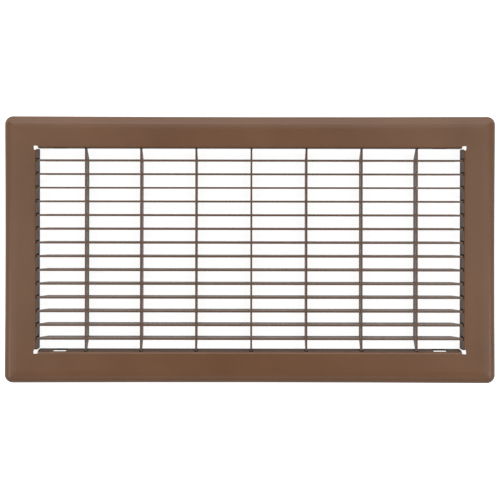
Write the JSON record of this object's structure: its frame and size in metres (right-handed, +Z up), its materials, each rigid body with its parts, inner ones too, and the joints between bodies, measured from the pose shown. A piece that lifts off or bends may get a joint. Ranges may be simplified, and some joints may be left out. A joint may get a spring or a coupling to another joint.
{
  "type": "floor return air grille",
  "caption": "Pressed-steel floor return air grille: flat flange with a rounded border, turned-down collar, and a fixed egg-crate core of long blades laid into notched cross bars.",
  "frame": {"origin": "middle of the floor opening, at the level of the floor, where the foot of the rim rests", "axes": "+X along the long blades, +Y along the cross bars, +Z up out of the floor"},
  "size_m": [0.4534, 0.2464, 0.0203],
  "materials": {
    "frame_enamel": "brown semi-gloss baked enamel",
    "blade_enamel": "brown semi-gloss baked enamel",
    "cross_bar_enamel": "brown semi-gloss baked enamel"
  },
  "bodies": {
    "root": {"frame": "frame_enamel", "blade_01": "blade_enamel", "blade_02": "blade_enamel", "blade_03": "blade_enamel", "blade_04": "blade_enamel", "blade_05": "blade_enamel", "blade_06": "blade_enamel", "blade_07": "blade_enamel", "blade_08": "blade_enamel", "blade_09": "blade_enamel", "blade_10": "blade_enamel", "blade_11": "blade_enamel", "blade_12": "blade_enamel", "blade_13": "blade_enamel", "blade_14": "blade_enamel", "cross_bar_1": "cross_bar_enamel", "cross_bar_2": "cross_bar_enamel", "cross_bar_3": "cross_bar_enamel", "cross_bar_4": "cross_bar_enamel", "cross_bar_5": "cross_bar_enamel", "cross_bar_6": "cross_bar_enamel", "cross_bar_7": "cross_bar_enamel"}
  },
  "joints": []
}
